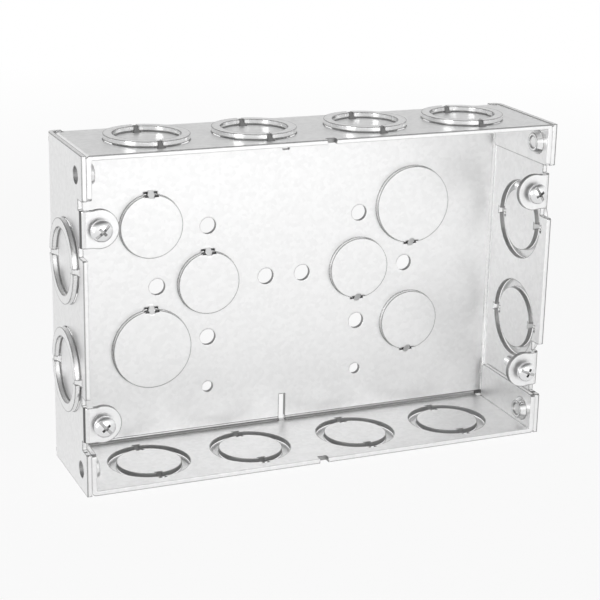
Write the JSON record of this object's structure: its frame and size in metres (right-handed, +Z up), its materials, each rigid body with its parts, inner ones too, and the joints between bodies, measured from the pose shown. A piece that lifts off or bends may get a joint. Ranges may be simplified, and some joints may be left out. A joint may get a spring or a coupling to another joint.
{
  "type": "multi-gang electrical box",
  "caption": "Shallow folded-sheet wiring box, open at the front, with raised knockouts in its walls and back, folded corner flaps, inward cover ears and cover screws.",
  "frame": {"origin": "middle of the flat back's outer face, which lies against the wall or stud", "axes": "+X along the box's length, +Y outward through the back towards the wall, +Z up"},
  "size_m": [0.1738, 0.0436, 0.1182],
  "materials": {
    "galvanised_steel": "galvanised",
    "zinc_screws": "zinc plated"
  },
  "bodies": {
    "root": {"box_body": "galvanised_steel", "cover_screws": "zinc_screws"}
  },
  "joints": []
}
